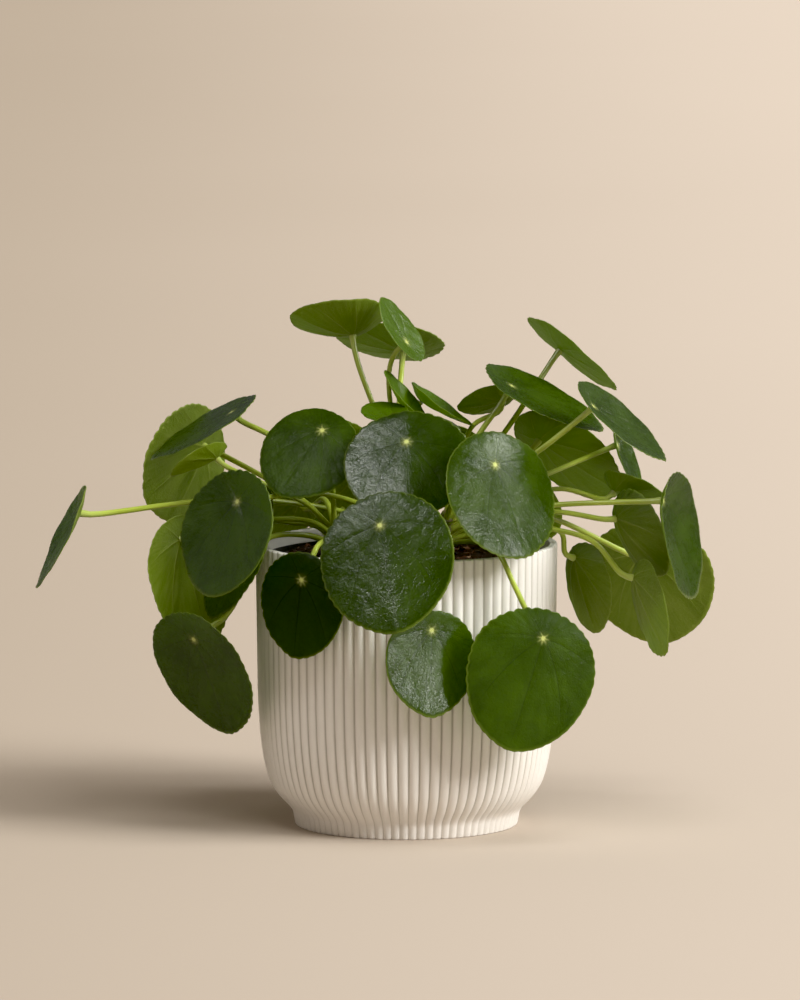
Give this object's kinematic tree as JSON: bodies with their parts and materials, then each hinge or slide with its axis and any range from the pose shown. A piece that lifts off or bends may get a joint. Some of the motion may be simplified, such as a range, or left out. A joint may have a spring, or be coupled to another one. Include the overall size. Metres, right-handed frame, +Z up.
{
  "type": "potted plant",
  "caption": "House plant with round coin-like leaves on long stalks, growing in a ribbed white planter.",
  "frame": {"origin": "centre of the planter's flat underside", "axes": "+Z up, -Y towards the plant's fullest side, +X to the right seen from that side"},
  "size_m": [0.4179, 0.2946, 0.3231],
  "materials": {
    "pot": "matte warm white",
    "nursery_pot": "matte black",
    "soil": "crumbly dark brown",
    "stalk": "smooth fleshy green",
    "leaf": "waxy dark green"
  },
  "bodies": {
    "root": {"pot": "pot", "nursery_pot": "nursery_pot", "soil": "soil", "stem_main": "stalk", "stem_left": "stalk", "stem_right": "stalk", "leaf_01": "leaf", "leaf_02": "leaf", "leaf_03": "leaf", "leaf_04": "leaf", "leaf_05": "leaf", "leaf_06": "leaf", "leaf_07": "leaf", "leaf_08": "leaf", "leaf_09": "leaf", "leaf_10": "leaf", "leaf_11": "leaf", "leaf_12": "leaf", "leaf_13": "leaf", "leaf_14": "leaf", "leaf_15": "leaf", "leaf_16": "leaf", "leaf_17": "leaf", "leaf_18": "leaf", "leaf_19": "leaf", "leaf_20": "leaf", "leaf_21": "leaf", "leaf_22": "leaf", "leaf_23": "leaf", "leaf_24": "leaf", "leaf_25": "leaf", "leaf_26": "leaf", "leaf_27": "leaf", "leaf_28": "leaf", "leaf_29": "leaf", "leaf_30": "leaf", "leaf_31": "leaf", "leaf_32": "leaf", "leaf_33": "leaf", "leaf_34": "leaf", "leaf_35": "leaf", "leaf_36": "leaf", "leaf_37": "leaf", "leaf_38": "leaf", "leaf_39": "leaf", "leaf_40": "leaf", "leaf_41": "leaf", "leaf_42": "leaf", "leaf_43": "leaf"}
  },
  "joints": []
}
